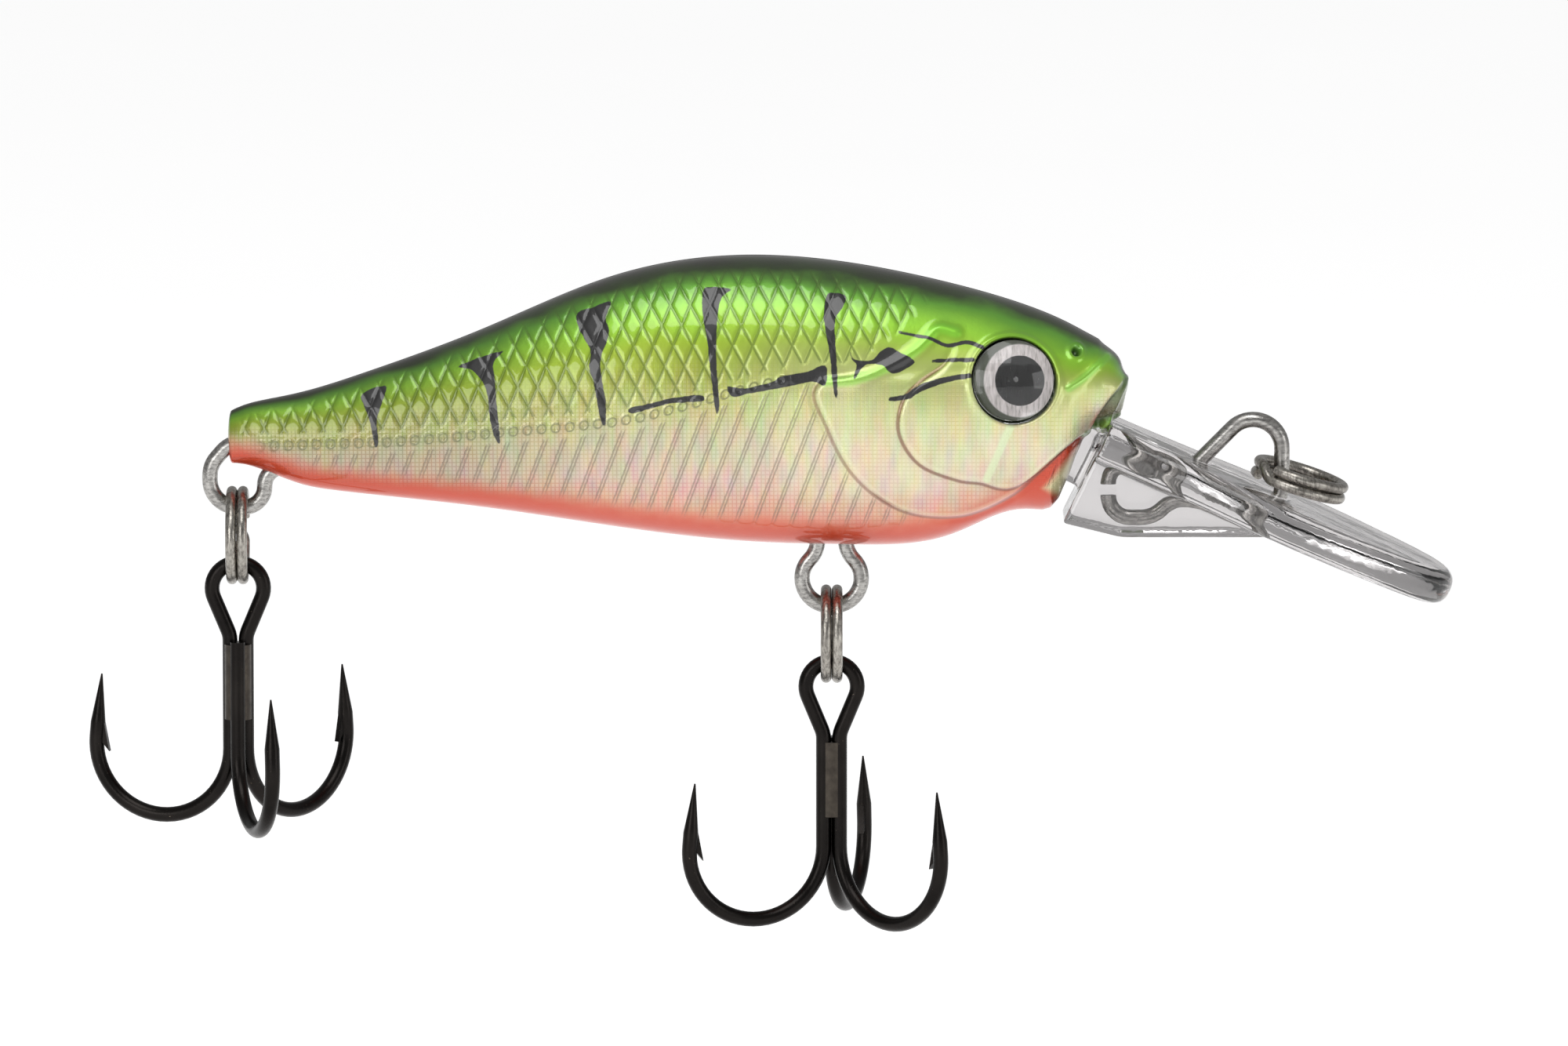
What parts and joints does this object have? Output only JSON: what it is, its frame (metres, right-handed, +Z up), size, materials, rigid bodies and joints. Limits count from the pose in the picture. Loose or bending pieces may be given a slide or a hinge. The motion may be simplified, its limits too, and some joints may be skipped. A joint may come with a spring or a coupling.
{
  "type": "crankbait lure",
  "caption": "Hollow fish-shaped diving lure with a clear bib, wire line tie, split rings and two treble hooks.",
  "frame": {"origin": "centre of the line-tie wire eye, where the fishing line pulls", "axes": "+X towards the nose and bib, +Y to the fish's left side, +Z up with the lure swimming level"},
  "size_m": [0.0832, 0.0185, 0.0411],
  "materials": {
    "foil_paint": "holographic foil and airbrushed paint under clear lacquer",
    "clear_bib": "clear polished polycarbonate",
    "steel_wire": "drawn stainless wire",
    "ring_steel": "bright stainless, slightly worn",
    "hook_black": "black nickel plating",
    "hook_braze": "braze metal under black nickel",
    "eye_foil": "silver foil with a printed black pupil",
    "eye_dome": "clear cast resin",
    "ballast": "dull cast weight",
    "ball_steel": "polished bearing steel"
  },
  "bodies": {
    "lure_body": {"right_body_shell": "foil_paint", "left_body_shell": "foil_paint", "bib": "clear_bib", "line_tie_wire": "steel_wire", "belly_hanger": "steel_wire", "tail_hanger": "steel_wire", "belly_weight": "ballast", "right_eye_disc": "eye_foil", "left_eye_disc": "eye_foil", "right_eye_lens": "eye_dome", "left_eye_lens": "eye_dome"},
    "front_ball": {"front_rattle_ball": "ball_steel"},
    "rear_ball": {"rear_rattle_ball": "ball_steel"},
    "tie_ring": {"line_tie_ring": "ring_steel"},
    "belly_split_ring": {"belly_ring": "ring_steel"},
    "tail_split_ring": {"tail_ring": "ring_steel"},
    "front_treble": {"front_double_hook": "hook_black", "front_single_hook": "hook_black", "front_hook_braze": "hook_braze"},
    "rear_treble": {"rear_double_hook": "hook_black", "rear_single_hook": "hook_black", "rear_hook_braze": "hook_braze"}
  },
  "joints": [
    {"name": "belly_ring_sway", "type": "hinge", "parent": "lure_body", "child": "belly_split_ring", "pos_m": [-0.0256, 0, -0.00965], "axis": [1, 0, 0], "range_deg": [-75, 75]},
    {"name": "front_hook_swing", "type": "hinge", "parent": "belly_split_ring", "child": "front_treble", "pos_m": [-0.0256, 0, -0.01452], "axis": [0, 1, 0], "range_deg": [-60, 60]},
    {"name": "tail_ring_sway", "type": "hinge", "parent": "lure_body", "child": "tail_split_ring", "pos_m": [-0.06175, 0, -0.00359], "axis": [1, 0, 0], "range_deg": [-75, 75]},
    {"name": "rear_hook_swing", "type": "hinge", "parent": "tail_split_ring", "child": "rear_treble", "pos_m": [-0.06175, 0, -0.00847], "axis": [0, 1, 0], "range_deg": [-60, 60]},
    {"name": "tie_ring_swing", "type": "hinge", "parent": "lure_body", "child": "tie_ring", "pos_m": [0.00031, 0, -0.0011], "axis": [0, -1, 0], "range_deg": [-6, 150]},
    {"name": "front_ball_roll", "type": "slide", "parent": "lure_body", "child": "front_ball", "axis": [1, 0, 0], "range_m": [0, 0.0025]},
    {"name": "rear_ball_roll", "type": "slide", "parent": "lure_body", "child": "rear_ball", "axis": [1, 0, 0], "range_m": [-0.0025, 0]}
  ]
}
